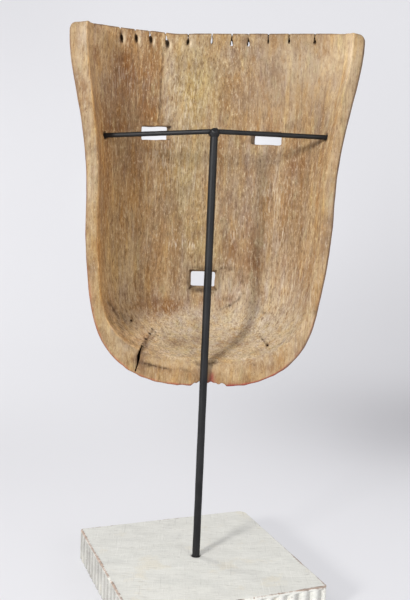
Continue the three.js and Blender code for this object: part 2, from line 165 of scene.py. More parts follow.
# Greenish yellow wood, and duller grey wood
OLIVE_PATCHES = [
    (19, 529, 26, 44, 1), (23, 422, 20, 50, 0.7), (6, 356, 14, 26, 0.6), (96, 330, 22, 60, 0.3),
]
GREY_PATCHES = [
    (-102, 508, 26, 28, 0.7), (-30, 250, 40, 10, 0.4),
    (46, 524, 5, 40, 0.9), (-41, 425, 26, 70, 0.9), (-50, 303, 24, 40, 0.35),
    (106, 513, 20, 22, 0.6), (-51, 548, 30, 22, 0.6), (21, 320, 14, 30, 0.6),
    (27, 262, 50, 20, 0.5), (65, 350, 10, 40, 0.4),
]
# Stains and painted shade: spots in the mouth, crack, beetle holes and chisel slips darken recesses
STAINS_AND_SHADE = [
    (63, 250, 3, 6, 0.3), (68.5, 241, 2.0, 5, 0.9), (46, 484, 1.6, 5, 0.7), (79, 487, 1.4, 4, 0.6),
    (-66.3, 255.5, 1.6, 1.6, 0.9), (77.7, 273, 1.6, 1.6, 0.7), (42, 485, 1.2, 3, 0.6),
    (60, 460.5, 8, 0.9, 0.6), (45, 224, 1.0, 5, 0.6), (4, 303.4, 13, 2.0, 1.0),
    (19.5, 315, 1.2, 10, 0.6), (-16, 312, 1.4, 9, 0.8), (3, 328.5, 16, 1.0, 0.8),
    (-110.5, 295, 1.3, 1.8, 0.7), (-122, 350, 1.6, 3, 0.6), (-60, 288, 3, 3, 0.4),
    (-24, 296, 6, 2, 0.4),
]
RED_TRACES = [
    (-6, 216.5, 8, 3.5, 1.2), (4, 215, 6, 2.6, 1.0), (-30, 213, 7, 3.6, 1.7),
    (-8, 224, 3, 5.5, 1.1), (62, 256, 4, 5, 0.3), (-50, 215.5, 14, 2.4, 0.8),
]
# Thin dark marks between two points: x, z, x, z, half width, strength
# Painted shade: the marks down the gouge's step, along the row of cuts and by the crack
DARK_LINES = [
    (54.8, 561, 56.3, 526, 1.1, 0.7), (56.3, 526, 56.4, 500, 1.2, 0.8),
    (56.4, 500, 58.2, 484, 1.2, 0.8), (-16, 329, -22, 330, 1.1, 0.7),
    (-26, 329, -32, 328, 1.1, 0.6), (-35, 327, -38, 327, 1.1, 0.5), (-40, 329, -42, 313, 1.1, 0.4),
    (-18, 284, -29, 289, 1.2, 0.5), (-29, 289, -38, 296, 1.2, 0.6), (-38, 296, -42, 305, 1.1, 0.5),
    (-60.5, 261, -66, 256, 0.9, 0.8), (-50, 294, -53, 292, 1.4, 0.6),
    (-64, 285, -68, 284, 1.4, 0.6), (101, 294, 96, 286, 1.4, 0.6), (96, 285, 90, 276, 1.4, 0.6),
    (89, 281, 84, 273, 1.2, 0.5), (92, 274, 85, 266, 1.4, 0.5), (99, 281, 95, 274, 1.2, 0.5),
    (65, 236.6, 55, 234.2, 2.3, 0.75), (55, 234.2, 44, 232.2, 1.6, 0.65),
    (44, 232, 33, 230, 1.2, 0.55), (66, 246, 61, 254, 1.8, 0.8), (61, 254, 55, 262, 1.6, 0.7),
    (60, 250, 52, 259, 1.2, 0.5), (24, 232, 14, 229, 1.4, 0.5), (6, 236, -12, 238.5, 1.8, 0.7),
    (-12, 238.5, -22, 243, 1.4, 0.4), (63, 362, 63, 350, 0.9, 0.4), (88, 348, 88, 332, 0.9, 0.35),
    (31, 384, 31, 367, 0.9, 0.35), (-56, 350, -57, 334, 0.9, 0.35), (-66, 426, -68, 408, 0.9, 0.35),
    (76, 439, 75, 424, 0.9, 0.35), (20, 502, 20, 487, 0.9, 0.3), (-10, 546, -12, 527, 0.9, 0.4),
    (87, 391, 87, 376, 0.9, 0.35),
]

# Crossbar: where it crosses the rod, where it enters the mask, and the holes for its ends
BAR_HEIGHT = 470.8
BAR_LEFT = (-113.5, -25, 472)
BAR_RIGHT = (111, -34, 464.6)
BAR_RADIUS = 2.42
BAR_IN_SOCKET = 4.9
BAR_BEND = 0.08
SOCKET_RADIUS = 3.1
SOCKET_DEPTH = 5.8
WELD_LUMPS = 26
# How far the rod stays inside its CAD solid
GAP = 0.1
# Rings along the rod, each arm of the bar and its bend, and sides round each
ROD_RINGS = 150
ROD_SIDES = 40
ARM_RINGS = 50
BEND_RINGS = 16
BAR_SIDES = 28

# The grid that the mask is worked out on, the band of distances that its field keeps, and
# how finely its skins are found
VOXEL = 1.0
GRID_LOW = (-147.0, -122.0, 210.0)
GRID_HIGH = (147.0, -1.0, 584.0)
CELL_BAND = 4.0
HALVINGS = 18
MASK_TRIANGLES = 190000
# The radius at which tool marks are laid round the hollow
UNROLL_RADIUS = 99


def smoothstep(a):
    a = np.clip(a, 0, 1)
    return a * a * (3 - 2 * a)


def side_half_width(z):
    fall = np.clip((WAIST_Z - z) / (WAIST_Z - CHIN_Z), 0, None)
    rise = np.clip((z - WAIST_Z) / (FLARE_END_Z - WAIST_Z), 0, None)
    flare = TOP_FLARE * smoothstep(rise ** FLARE_POWER)
    return WAIST_HALF_WIDTH + flare - CHIN_TAPER * fall ** TAPER_POWER


def middle(z):
    return CHIN_DRIFT * np.clip((WAIST_Z - z) / (WAIST_Z - CHIN_Z), 0, 1)


def lean(z):
    return np.clip((z - FOREHEAD_Z) / (TOP_Z - FOREHEAD_Z), 0, None) ** 2


def top_lift(x, z):
    across = x / (WAIST_HALF_WIDTH + TOP_FLARE)
    sway = TOP_SWAY * np.sin(SWAY_TURNS * math.pi * across)
    worn_x, worn_half, worn_drop = TOP_WORN
    worn = worn_drop * np.exp(-((x - worn_x) / worn_half) ** 2)
    return -lean(z) * (TOP_CROWN * across ** 4 + sway + worn)


def skin_field(skin, x, z, depth, relief=0):
    """Below 0 inside the body under a skin, 0 on it; x, z and depth broadcast."""
    z = z - top_lift(x, z)
    x = np.abs(x - middle(z))
    fall = np.clip((CHIN_Z - z) / skin["drop"], 0, None)
    station_z = z
    for _ in range(2):
        share = x / (side_half_width(station_z) - skin["inset"])
        reach = (share ** skin["power"] + fall ** skin["power"]) ** (1 / skin["power"])
        station_z = np.where(fall > 0, CHIN_Z - (CHIN_Z - z) / np.maximum(reach, 0.3), z)
    turn = (fall / np.maximum(reach, 1e-3)) ** skin["power"]
    profile = 2 + (skin["profile"] - 2) * turn
    slope = 2 + (skin["slope"] - 2) * turn
    spine = skin["depth"] - (skin["depth"] - skin["top_depth"]) * lean(z)
    body = (reach ** profile).astype(np.float32)
    along = np.maximum(depth - relief, 0) / spine
    return body + np.power(along, slope, dtype=np.float32) - 1


def skin_depth(skin, x, z):
    """How far a skin lies in front of the rim plane, by halving."""
    low, high = np.zeros_like(x), np.full_like(x, skin["depth"])
    for _ in range(HALVINGS):
        half = (low + high) / 2
        inside = skin_field(skin, x, z, half) < 0
        low, high = np.where(inside, half, low), np.where(inside, high, half)
    return (low + high) / 2


def skin_y(skin, x, z):
    return RIM_Y - float(skin_depth(skin, np.array([float(x)]), np.array([float(z)]))[0])


def skin_turn(skin, x, z):
    """The turn about Z that faces along the skin's normal there."""
    return math.atan2(skin_y(skin, x + 1, z) - skin_y(skin, x - 1, z), 2)


def lattice_noise(axes, cells, seed):
    """Smooth noise between -1 and 1 over a grid, from random values at lattice points."""
    counts = [int((axis[-1] - axis[0]) / cell) + 3 for axis, cell in zip(axes, cells)]
    values = np.random.default_rng(seed).uniform(-1, 1, counts)
    for k, (axis, cell) in enumerate(zip(axes, cells)):
        place = (axis - axis[0]) / cell
        index = place.astype(int)
        share = smoothstep(place - index)
        weights = np.zeros((len(axis), counts[k]))
        weights[np.arange(len(axis)), index] = 1 - share
        weights[np.arange(len(axis)), index + 1] = share
        values = np.moveaxis(np.tensordot(weights, values, axes=(1, k)), 0, k)
    return values.astype(np.float32)


def smooth_max(a, b, round_off):
    blend = np.maximum(round_off - np.abs(a - b), 0)
    return np.maximum(a, b) + blend * blend / (4 * round_off)


def to_distance(field, band):
    slopes = np.gradient(field, VOXEL)
    size = np.sqrt(sum(slope * slope for slope in slopes))
    return np.clip(field / np.maximum(size, 1e-4), -band, band)


def nose_relief(x, z):
    share = np.clip((NOSE_TOP_Z - z) / (NOSE_TOP_Z - NOSE_TIP_Z), 0, 1)
    rise = NOSE_RISE[0] + NOSE_RISE[1] * share ** 1.2
    rise -= 4 * np.clip((NOSE_TIP_Z - z) / (NOSE_TIP_Z - NOSE_BASE_Z), 0, 1.4) ** 1.6
    half = NOSE_HALF[0] + NOSE_HALF[1] * share
    ridge = 0.3 * half
    side = smoothstep(1.12 - (np.abs(x) - ridge) / (half - ridge) * 0.95)
    ends = smoothstep((NOSE_TOP_Z + 5 - z) / 12) * smoothstep((z - NOSE_BASE_Z + 3) / 3.4)
    wing = NOSTRIL_RISE * np.exp(-((np.abs(x) - NOSTRIL_X) / 5) ** 2 - ((z - NOSTRIL_Z) / 7.5) ** 2)
    return np.maximum(rise * side, wing) * ends


def brow_relief(x, z):
    share = np.clip(np.abs(x) / BROW_REACH, 0, 1)
    off = (z - BROW_Z - BROW_ARCH * np.sin(math.pi * share)) / BROW_RADIUS
    fade = smoothstep((BROW_REACH - np.abs(x)) / 16)
    return BROW_RISE * fade * np.sqrt(np.clip(1 - off * off, 0, 1))


def frame_relief(x, z, centre, half, tilt):
    along = np.abs(x - centre[0]) / math.cos(tilt) - half[0] - FRAME_BORDER
    up = np.abs(z - centre[1]) - half[1] - FRAME_BORDER
    edge = smooth_max(along, up, 4.0)
    groove = 0.9 * np.exp(-((edge + FRAME_BORDER * 0.55) / 1.1) ** 2)
    return (FRAME_RISE * smoothstep(0.5 - edge / 2.6) - groove) / math.cos(tilt)


def face_relief(x, z):
    eye_tilt = skin_turn(FACE, EYE_X, EYE_Z)
    relief = np.maximum(nose_relief(x, z), brow_relief(x, z))
    for side in (-1, 1):
        frame_here = frame_relief(x, z, (side * EYE_X, EYE_Z), EYE_HALF, eye_tilt)
        relief = np.maximum(relief, frame_here)
    mouth_frame = (MOUTH_HALF_FRONT[0] + FRAME_BORDER / 2, MOUTH_HALF_FRONT[1])
    relief = np.maximum(relief, frame_relief(x, z, (MOUTH_X, MOUTH_Z), mouth_frame, 0))
    return np.maximum(relief, 0)


class MaskGrid:
    """The mask as a field over a grid of cells: below 0 in the wood."""

    def __init__(self):
        self.low = np.array(GRID_LOW)
        self.axes = [np.arange(a, b + VOXEL / 2, VOXEL) for a, b in zip(GRID_LOW, GRID_HIGH)]
        self.x = self.axes[0][:, None, None].astype(np.float32)
        self.y = self.axes[1][None, :, None].astype(np.float32)
        self.z = self.axes[2][None, None, :].astype(np.float32)
        depth = RIM_Y - self.y
        face = skin_field(FACE, self.x, self.z, depth, face_relief(self.x, self.z))
        self.face = to_distance(face.astype(np.float32), CELL_BAND)
        self.face += 0.35 * lattice_noise(self.axes, (45, 45, 45), 3)
        hollow = skin_field(HOLLOW, self.x, self.z, depth)
        self.hollow = to_distance(hollow.astype(np.float32), 3 * CELL_BAND)
        self.hollow += 0.5 * lattice_noise(self.axes, (38, 38, 60), 4)
        self.hollow += self.groove_step()
        upper_side = smoothstep((self.x - 45) / 90) * smoothstep((self.z - 460) / 110)
        self.hollow += UPPER_SIDE_RISE * upper_side
        left_lip = smoothstep((self.x - 70) / 30) * smoothstep((self.y + 26) / 20)
        self.hollow += LEFT_LIP_RISE * left_lip * (1 + 3 * smoothstep((self.z - 420) / 130))
        self.body = self.rimmed()

    def groove_step(self):
        """One long cut of the gouge left a step down the inside of the forehead."""
        edge = GROOVE_X + GROOVE_SWAY * smoothstep((505 - self.z) / 25)
        edge = edge - GROOVE_SWAY * smoothstep((self.z - 530) / 28)
        run = smoothstep((self.z - 470) / 25) * smoothstep((585 - self.z) / 20)
        side = smoothstep((self.x - edge) / 1.6) * smoothstep((96 - self.x) / 36)
        return -GROOVE_DEPTH * run * side

    def rimmed(self):
        wobble = lattice_noise(self.axes, (13, 13, 13), 5)
        rim = self.y - RIM_Y + 0.25 * (1 + lattice_noise(self.axes, (24, 24, 16), 6))
        top = self.z - top_lift(self.x, self.z) - TOP_Z + 0.3 * (1 + wobble)
        corner = 2.4 + 8.4 * smoothstep((np.abs(self.x) - 108) / 28)
        worn = lattice_noise(self.axes, (7, 9, 7), 7) - 0.2
        near_chin = smoothstep((250 - self.z) / 24) * smoothstep((self.y + 14) / 6)
        outer = smooth_max(self.face + 0.8 * worn * near_chin, rim, 3.0 + 1.2 * wobble)
        outer = smooth_max(outer, top, corner)
        soft_side = smoothstep((-self.x - 60) / 40)
        soft_chin = smoothstep((275 - self.z) / 30)
        inner_round = 3.0 + np.maximum(3.5 * soft_side, 8 * soft_chin) + 1.0 * wobble
        inner = smooth_max(-self.hollow, rim, inner_round)
        inner = smooth_max(inner, top, 2.0)
        return np.clip(np.maximum(outer, inner), -CELL_BAND, CELL_BAND)

    def block(self, low, high):
        """The part of the grid around a box, and its cell centres."""
        spans = []
        for axis, a, b in zip(self.axes, low, high):
            first, last = np.searchsorted(axis, [a - 3, b + 3])
            spans.append(slice(max(0, first), min(len(axis), last + 1)))
        x, y, z = (axis[span] for axis, span in zip(self.axes, spans))
        return tuple(spans), x[:, None, None], y[None, :, None], z[None, None, :]

    def cut(self, low, high, shape):
        """Cuts away where shape(x, y, z) is below 0."""
        spans, x, y, z = self.block(low, high)
        away = -shape(x, y, z)
        self.body[spans] = np.maximum(self.body[spans], np.clip(away, -CELL_BAND, CELL_BAND))

    def cut_capsule(self, start, end, radius):
        start, end = np.array(start, float), np.array(end, float)
        along = end - start

        def shape(x, y, z):
            off = (x - start[0], y - start[1], z - start[2])
            share = sum(o * a for o, a in zip(off, along)) / max(along @ along, 1e-6)
            share = np.clip(share, 0, 1)
            return np.sqrt(sum((o - share * a) ** 2 for o, a in zip(off, along))) - radius

        low, high = np.minimum(start, end) - radius, np.maximum(start, end) + radius
        self.cut(low, high, shape)

    def cut_through(self, skin, centre, shape, reach):
        """Cuts an outline drawn in the skin's own plane through the wall."""
        turn = skin_turn(skin, *centre)
        y0 = skin_y(skin, *centre)

        def tilted(x, y, z):
            u = (x - centre[0]) * math.cos(turn) + (y - y0) * math.sin(turn)
            n = (x - centre[0]) * math.sin(turn) - (y - y0) * math.cos(turn)
            return np.maximum(shape(u, z - centre[1], n), np.abs(n) - reach)

        span = np.array([reach + 12, reach + 12, 24])
        place = np.array([centre[0], y0, centre[1]])
        self.cut(place - span, place + span, tilted)


def cut_eyes(grid):
    for side, lean_in, lower in ((-1, -0.02, 1.3), (1, 0.07, 0.6)):
        def outline(u, w, n):
            wobble = 0.35 * np.sin(u / 3.1 + side) + 0.2 * np.sin(w / 1.7)
            across = np.abs(u + 0.4 * wobble) - EYE_HALF[0] + 0.4
            up = np.abs(w + lower / 2 + lean_in * u + 0.5 * wobble) - EYE_HALF[1] + lower / 2
            return smooth_max(across, up, 1.6)

        grid.cut_through(FACE, (side * EYE_X, EYE_Z), outline, 30)


def cut_mouth(grid):
    def shape(x, y, z):
        share = np.clip((RIM_Y - HOLLOW["depth"] - y) / (FACE["depth"] - HOLLOW["depth"]), 0, 1)
        half = [a + (b - a) * share for a, b in zip(MOUTH_HALF_BACK, MOUTH_HALF_FRONT)]
        wobble = 0.3 * np.sin(x / 2.7) * np.sin(z / 2.3 + 1)
        across = np.abs(x - MOUTH_X + wobble) - half[0]
        up = np.abs(z - MOUTH_Z + wobble) - half[1]
        return smooth_max(across, up, 2.0)

    grid.cut(*MOUTH_BOX, shape)


def cut_string_holes(grid):
    for x, z, half_width, half_height, slant in STRING_HOLES:
        def outline(u, w, n):
            w = w - slant * n
            u = u - 0.22 * w * (slant > 1)
            hole = np.hypot(u / half_width, w / half_height) - 1
            slit_half = np.maximum(half_width * np.clip(1 - w / 9.5, 0.3, 1) * 0.7, 0.5)
            slit = np.maximum(np.abs(u + 0.25 * np.sin(w)) - slit_half, -w)
            return np.minimum(hole * half_width, slit)

        grid.cut_through(HOLLOW, (x, z), outline, 22)


def cut_bar_sockets(grid):
    centre = np.array([0, 0, BAR_HEIGHT])
    for point in np.array([BAR_LEFT, BAR_RIGHT], float):
        along = (point - centre) / np.linalg.norm(point - centre)

        def shape(x, y, z):
            off = [x - point[0], y - point[1], z - point[2]]
            depth = sum(o * a for o, a in zip(off, along))
            off = [o - depth * a for o, a in zip(off, along)]
            radial = np.sqrt(off[0] ** 2 + off[1] ** 2 + (off[2] / 1.35) ** 2) - SOCKET_RADIUS
            return np.maximum(radial, np.abs(depth) - SOCKET_DEPTH)

        grid.cut(point - 9, point + 9, shape)


def cut_chin_damage(grid):
    """The chip out of the chin edge, the crack, and the gouges on the rim."""
    def chip(x, y, z):
        ragged = 0.7 * np.sin(x / 1.9) + 0.5 * np.sin(x / 0.9 + y / 2.0)
        left, right = -24 + 0.15 * (y + 4), 12 - 0.1 * (y + 4)
        height = 218.6 + ragged - 0.09 * np.abs(x + 2)
        shoulder = np.maximum(x - right + 0.9 * (z - 214), left - x + 0.8 * (z - 214))
        return np.maximum(np.maximum(z - height, shoulder), RIM_Y - y - 15 + 0.6 * ragged)

    def crack(x, y, z):
        share = np.clip((z - 213) / 46, 0, 1)
        line = 70.2 - 2.5 * share - 7.5 * share ** 3 + 0.5 * np.sin(z / 3.2)
        line = line + 0.05 * (RIM_Y - y)
        half = 0.62 + 0.9 * np.exp(-((z - 242) / 5.5) ** 2) - 0.35 * smoothstep((z - 247) / 13)
        depth = RIM_Y - y - 30 + 8 * share
        opened = np.maximum(np.maximum(np.abs(x - line) - half, z - 259.5), depth)
        spans = grid.block(*CRACK_BOX)[0]
        return np.maximum(opened, grid.face[spans] + 2.4)

    grid.cut(*CHIP_BOX, chip)
    grid.cut(*CRACK_BOX, crack)
    random = np.random.default_rng(15)
    for i in range(9):
        x, z = 63.5 - 2.8 * i, 236.3 - 0.52 * i + random.uniform(-0.7, 0.7)
        y = RIM_Y + random.uniform(0.3, 1.1)
        end = (x - random.uniform(2.2, 4.6), y, z - random.uniform(-0.3, 0.9))
        grid.cut_capsule((x, y, z), end, 1.45)
    for x0, z0, x1, z1, out0, out1, radius in RIM_GOUGES:
        grid.cut_capsule((x0, RIM_Y + out0, z0), (x1, RIM_Y + out1, z1), radius)


def cut_tool_marks(grid):
    """Slips of the chisel, beetle holes, and torn wood at the head of the crack."""
    def on_hollow(x, z, out=0.0):
        return x, skin_y(HOLLOW, x, z) + out, z

    for x0, z0, x1, z1, radius in CHISEL_SLIPS:
        grid.cut_capsule(on_hollow(x0, z0, 0.5), on_hollow(x1, z1, 0.5), radius)
    for x, z, radius in BEETLE_HOLES:
        x, y, z = on_hollow(x, z)
        grid.cut_capsule((x, y + 1, z), (x * 1.02, y - 3, z - 1), radius)
    for x, z, radius in TORN_WOOD:
        x, y, z = on_hollow(x, z)
        grid.cut_capsule((x - 1, y + 0.3, z), (x + 1.5, y - 1.2, z - 2), radius)


def field_mesh(field, low):
    """Points and faces of the surface where a field is 0, with normals outward."""
    volume = openvdb.FloatGrid(CELL_BAND)
    volume.copyFromArray(np.ascontiguousarray(field, dtype=np.float32))
    points, triangles, quads = volume.convertToPolygons(isovalue=0.0, adaptivity=0.0)
    points = points.astype(np.float64) * VOXEL + low
    return points, [list(face) for face in triangles] + [list(face) for face in quads]


def new_mesh(name, points, faces):
    mesh = bpy.data.meshes.new(name)
    mesh.from_pydata((np.asarray(points) * MM).tolist(), [], faces)
    mesh.update()
    return mesh


def new_object(name, mesh, material=None):
    piece = bpy.data.objects.new(name, mesh)
    bpy.context.scene.collection.objects.link(piece)
    if material:
        mesh.materials.append(material)
    return piece


def set_points(mesh, points):
    mesh.vertices.foreach_set("co", (np.asarray(points) * MM).astype(np.float32).ravel())
    mesh.update()


def points_of(mesh):
    flat = np.empty(3 * len(mesh.vertices), np.float32)
    mesh.vertices.foreach_get("co", flat)
    return flat.reshape(-1, 3).astype(np.float64) / MM


def normals_of(mesh):
    flat = np.empty(3 * len(mesh.vertices), np.float32)
    mesh.vertex_normals.foreach_get("vector", flat)
    return flat.reshape(-1, 3).astype(np.float64)


def in_mm(box):
    """A box's lowest and highest corners, from metres to the script's millimetres."""
    return [np.array(corner) / MM for corner in box]


def outward(mesh):
    """Turns a closed mesh right side out."""
    work = bmesh.new()
    work.from_mesh(mesh)
    if work.calc_volume(signed=True) < 0:
        bmesh.ops.reverse_faces(work, faces=work.faces)
    work.to_mesh(mesh)
    work.free()


def scoops(u, v, cell_u, cell_v, seed):
    """Scoops of a gouge: squared distance to the nearest of scattered cell middles."""
    random = np.random.default_rng(seed)
    size = 128
    jitter = random.uniform(-0.36, 0.36, (size, size, 2))
    weight = random.uniform(0, 0.35, (size, size))
    u, v = u / cell_u, v / cell_v
    column, row = np.floor(u).astype(int), np.floor(v).astype(int)
    best = np.full(u.shape, 9.0)
    for i in (-1, 0, 1):
        for j in (-1, 0, 1):
            a, b = column + i, row + j
            shift = jitter[a % size, b % size]
            far = (u - a - 0.5 - shift[..., 0]) ** 2 + (v - b - 0.5 - shift[..., 1]) ** 2
            best = np.minimum(best, far + weight[a % size, b % size])
    return best


def sample(field, grid, points):
    """Values of a grid field at points, between the eight cells around each."""
    place = (points - grid.low) / VOXEL
    base = np.clip(np.floor(place).astype(int), 0, np.array(field.shape) - 2)
    share = np.clip(place - base, 0, 1)
    total = np.zeros(len(points))
    for corner in np.ndindex(2, 2, 2):
        weight = np.prod(np.where(corner, share, 1 - share), axis=1)
        total += weight * field[tuple((base + corner).T)]
    return total


def carve_texture(mesh, grid):
    """Tool marks: long shallow gouge cuts inside, short scoops in the chin, facets outside."""
    points, normals = points_of(mesh), normals_of(mesh)
    x, y, z = points.T
    depth = RIM_Y - y
    rim = smoothstep((y - RIM_Y + 2) / 1.5)
    hollow = smoothstep(1 - np.abs(sample(grid.hollow, grid, points)) / 1.5) * (1 - rim)
    face = smoothstep(1 - np.abs(sample(grid.face, grid, points)) / 1.5) * (1 - rim)
    around = UNROLL_RADIUS * np.arctan2(x - middle(z), np.maximum(depth, 1))
    low_part = smoothstep((318 - z) / 45)
    long_cuts = scoops(around, z, 9.5, 55, 11) - 0.35
    short_cuts = scoops(around, z + 0.4 * depth, 12, 13, 12) - 0.35
    fibres = scoops(around + 2 * np.sin(z / 41), z, 3.6, 20, 15) - 0.3
    inside = (0.45 * long_cuts + 0.42 * fibres) * (1 - low_part) + 0.9 * short_cuts * low_part
    outside = 0.55 * (scoops(around * 1.15, z, 17, 26, 13) - 0.35)
    edge = 0.35 * (scoops(x * 0.9, z * 0.7, 9, 9, 14) - 0.35)
    push = inside * hollow + outside * face + edge * rim
    points += normals * push[:, None]
    low, high = in_mm(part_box("mask"))
    set_points(mesh, np.clip(points, low + 0.05, high - 0.05))


def decimate(piece, triangles):
    """Cuts a mesh down to about a number of triangles."""
    work = bmesh.new()
    work.from_mesh(piece.data)
    bmesh.ops.triangulate(work, faces=work.faces)
    count = len(work.faces)
    work.to_mesh(piece.data)
    work.free()
    modifier = piece.modifiers.new("fewer", "DECIMATE")
    modifier.ratio = triangles / count
    ready = bpy.context.evaluated_depsgraph_get()
    mesh = bpy.data.meshes.new_from_object(piece.evaluated_get(ready))
    piece.modifiers.clear()
    old, piece.data = piece.data, mesh
    bpy.data.meshes.remove(old)


def set_attribute(mesh, name, values):
    layer = mesh.attributes.new(name, "FLOAT", "POINT")
    layer.data.foreach_set("value", np.asarray(values, np.float32))


def bump_at(points, places):
    """The sum of soft spots (x, z, half width, half height, strength) seen from behind."""
    total = np.zeros(len(points))
    for x, z, wide, high, strength in places:
        off = ((points[:, 0] - x) / wide) ** 2
        total += strength * np.exp(-off - ((points[:, 2] - z) / high) ** 2)
    return total


def lines_at(points, lines):
    """The sum of soft thin lines seen from behind."""
    total = np.zeros(len(points))
    for x0, z0, x1, z1, half_width, strength in lines:
        along = np.array((x1 - x0, z1 - z0), float)
        off = points[:, [0, 2]] - (x0, z0)
        share = np.clip(off @ along / (along @ along), 0, 1)
        far = np.linalg.norm(off - share[:, None] * along, axis=1)
        total += strength * np.exp(-(far / half_width) ** 2)
    return total


def mask_attributes(mesh, grid):
    """What the wood shader reads: rim and face, edges, patches of colour, stains, painted light and
    shade.
    """
    points, normals = points_of(mesh), normals_of(mesh)
    x, y, z = points.T
    hollow = sample(grid.hollow, grid, points)
    face = sample(grid.face, grid, points)
    flat_rim = smoothstep((y - RIM_Y + 1.6) / 1.1) * smoothstep(normals[:, 1] * 2)
    outside = smoothstep(1 - np.abs(face) / 1.6) * (1 - flat_rim)
    bare = 1 - outside
    rim = smoothstep((hollow - 0.3) / 1.6) * smoothstep(normals[:, 1] * 3) * bare
    # Concave places get values below 0, which the shader darkens as painted shade
    lap = -6 * grid.body
    for axis in range(3):
        for step in (-2, 2):
            lap += np.roll(grid.body, step, axis)
    edge = np.clip(sample(lap, grid, points) / 4, -1, 1)

    large_holes = STRING_HOLES[:5]
    # Painted shade inside the five larger string holes
    string_hole_shade = [(x + 0.4, z, wide - 0.2, high - 0.8, 1) for x, z, wide, high, _ in large_holes]
    torn = [(x - 3.0, z - 0.5, 1.4, 4.6, 0.9) for x, z, *_ in large_holes]
    stain = bump_at(points, STAINS_AND_SHADE + string_hole_shade) + lines_at(points, DARK_LINES)

    # Painted light: the hollow is lightened near the rim and across the chin, less low and high at
    # negative x
    away = smoothstep((-x - 50) / 30)
    lip = smoothstep(1 - (RIM_Y - y) / 48)
    lip *= smoothstep((np.abs(x) - 60) / 40) + smoothstep((290 - z) / 30)
    lip += 0.45 * smoothstep(1 - np.abs(z - 258) / 26) * smoothstep((85 - np.abs(x)) / 30)
    lip *= 1 - away * (0.8 * smoothstep((350 - z) / 40) + 0.2 * smoothstep((z - 500) / 40))

    raised = np.clip(face_relief(x, z) / 12, 0, 1)
    below_top = TOP_Z + top_lift(x, z) - z
    values = {
        "brown": bump_at(points, BROWN_PATCHES_AND_ROD_SHADOW) * bare,
        "pale": bump_at(points, PALE_PATCHES) * bare,
        "scrape": bump_at(points, SCRAPES) * bare,
        "olive": bump_at(points, OLIVE_PATCHES) * bare,
        "grey": bump_at(points, GREY_PATCHES) * bare,
        "torn": bump_at(points, torn) * bare,
        "red": np.clip(bump_at(points, RED_TRACES), 0, 1) * bare,
        "stain": np.clip(stain, 0, 1) * bare,
        "lip": lip * (1 - rim) * bare,
        "near_face": smoothstep((2.7 + face) / 1.2),
        "blush": smoothstep((3.95 + face) / 3) * bare,
        "top_line": smoothstep((2.2 - below_top) / 1.0) * bare,
        "rubbed": 0.09 * raised + 0.05 * smoothstep((y - RIM_Y + 12) / 10),
        "rim": rim,
        "outside": outside,
    }
    for name, value in values.items():
        set_attribute(mesh, name, np.clip(value, 0, 1))
    set_attribute(mesh, "edge", edge)


def make_mask(material):
    grid = MaskGrid()
    for cut in (cut_eyes, cut_mouth, cut_string_holes, cut_bar_sockets, cut_chin_damage,
                cut_tool_marks):
        cut(grid)
    mesh = new_mesh("carved_mask", *field_mesh(grid.body, grid.low))
    outward(mesh)
    carve_texture(mesh, grid)
    piece = new_object("carved_mask", mesh)
    decimate(piece, MASK_TRIANGLES)
    piece.data.materials.append(material)
    mask_attributes(piece.data, grid)
    piece.data.shade_smooth()
    return piece


# Node materials

def srgb(red, green, blue):
    def linear(value):
        value /= 255
        return value / 12.92 if value <= 0.04045 else ((value + 0.055) / 1.055) ** 2.4
    return (linear(red), linear(green), linear(blue), 1)


